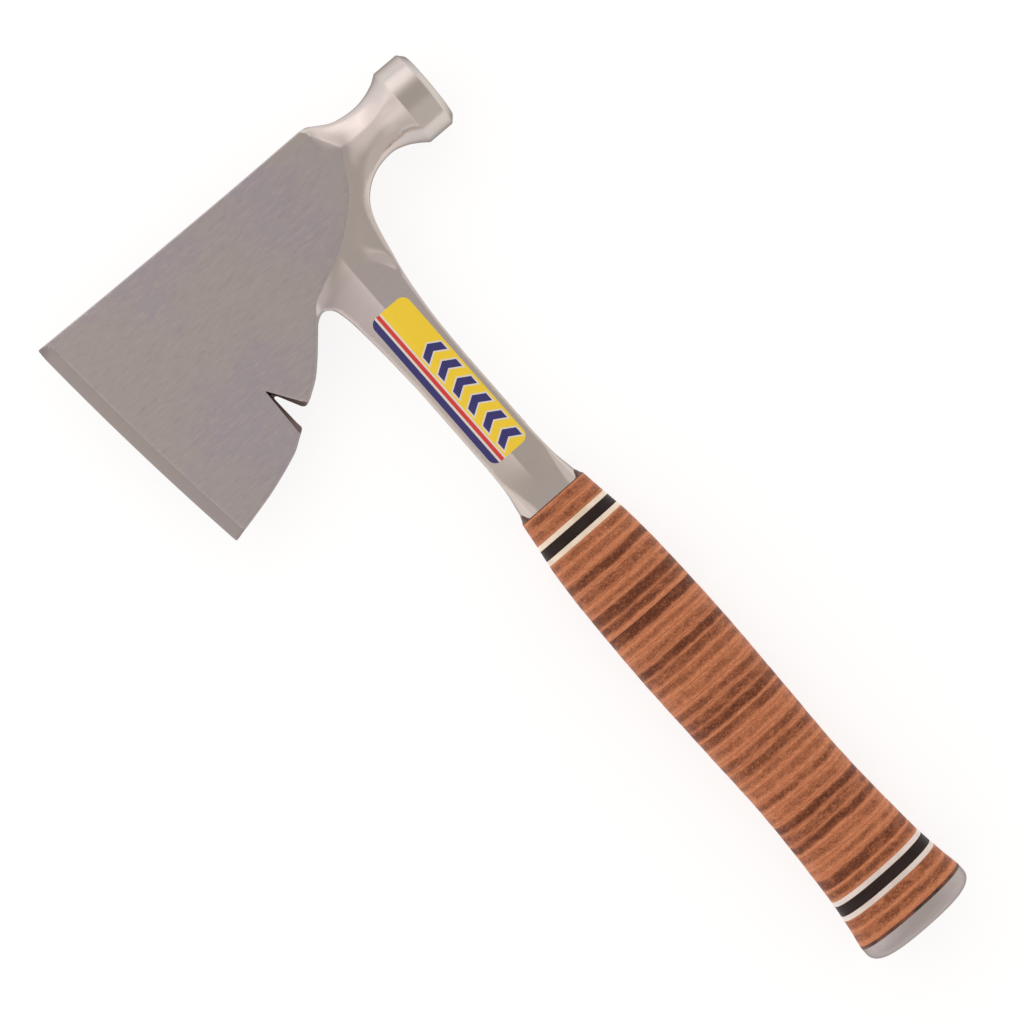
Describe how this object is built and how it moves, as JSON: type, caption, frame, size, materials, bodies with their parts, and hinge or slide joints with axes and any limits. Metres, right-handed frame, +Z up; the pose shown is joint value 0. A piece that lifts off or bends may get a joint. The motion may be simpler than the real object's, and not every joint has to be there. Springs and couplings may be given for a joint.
{
  "type": "roofing hatchet",
  "caption": "One-piece forged steel hatchet for roofing work, with a thin bearded blade, nail notch, round hammer poll and a stacked leather grip with a steel butt cap.",
  "frame": {"origin": "bottom centre of the bounding box, with the tool lying on its side and its middle plane level", "axes": "+X from the cutting edge to the striking face, along the poll's axis; +Y from the butt to the top of the blade; +Z up through the thickness, towards the label's side"},
  "size_m": [0.1536, 0.3301, 0.0289],
  "materials": {
    "steel": "ground satin cheeks, polished neck, poll and shank",
    "cap_steel": "satin",
    "grip_leather": "sanded and lacquered edges of stacked discs",
    "end_fibre": "burnished dark",
    "white_spacer": "sanded flush and lacquered",
    "black_spacer": "sanded flush and lacquered",
    "label_vinyl": null
  },
  "bodies": {
    "root": {"forging": "steel", "butt_cap": "cap_steel", "end_spacer": "end_fibre", "label": "label_vinyl", "leather_washer_01": "grip_leather", "leather_washer_02": "grip_leather", "leather_washer_03": "grip_leather", "leather_washer_04": "grip_leather", "leather_washer_05": "grip_leather", "leather_washer_06": "grip_leather", "leather_washer_07": "grip_leather", "leather_washer_08": "grip_leather", "leather_washer_09": "grip_leather", "leather_washer_10": "grip_leather", "leather_washer_11": "grip_leather", "leather_washer_12": "grip_leather", "leather_washer_13": "grip_leather", "leather_washer_14": "grip_leather", "leather_washer_15": "grip_leather", "leather_washer_16": "grip_leather", "leather_washer_17": "grip_leather", "leather_washer_18": "grip_leather", "leather_washer_19": "grip_leather", "leather_washer_20": "grip_leather", "leather_washer_21": "grip_leather", "leather_washer_22": "grip_leather", "leather_washer_23": "grip_leather", "leather_washer_24": "grip_leather", "leather_washer_25": "grip_leather", "leather_washer_26": "grip_leather", "leather_washer_27": "grip_leather", "leather_washer_28": "grip_leather", "leather_washer_29": "grip_leather", "leather_washer_30": "grip_leather", "leather_washer_31": "grip_leather", "leather_washer_32": "grip_leather", "leather_washer_33": "grip_leather", "leather_washer_34": "grip_leather", "leather_washer_35": "grip_leather", "leather_washer_36": "grip_leather", "white_spacer_1": "white_spacer", "white_spacer_2": "white_spacer", "white_spacer_3": "white_spacer", "white_spacer_4": "white_spacer", "black_spacer_1": "black_spacer", "black_spacer_2": "black_spacer"}
  },
  "joints": []
}
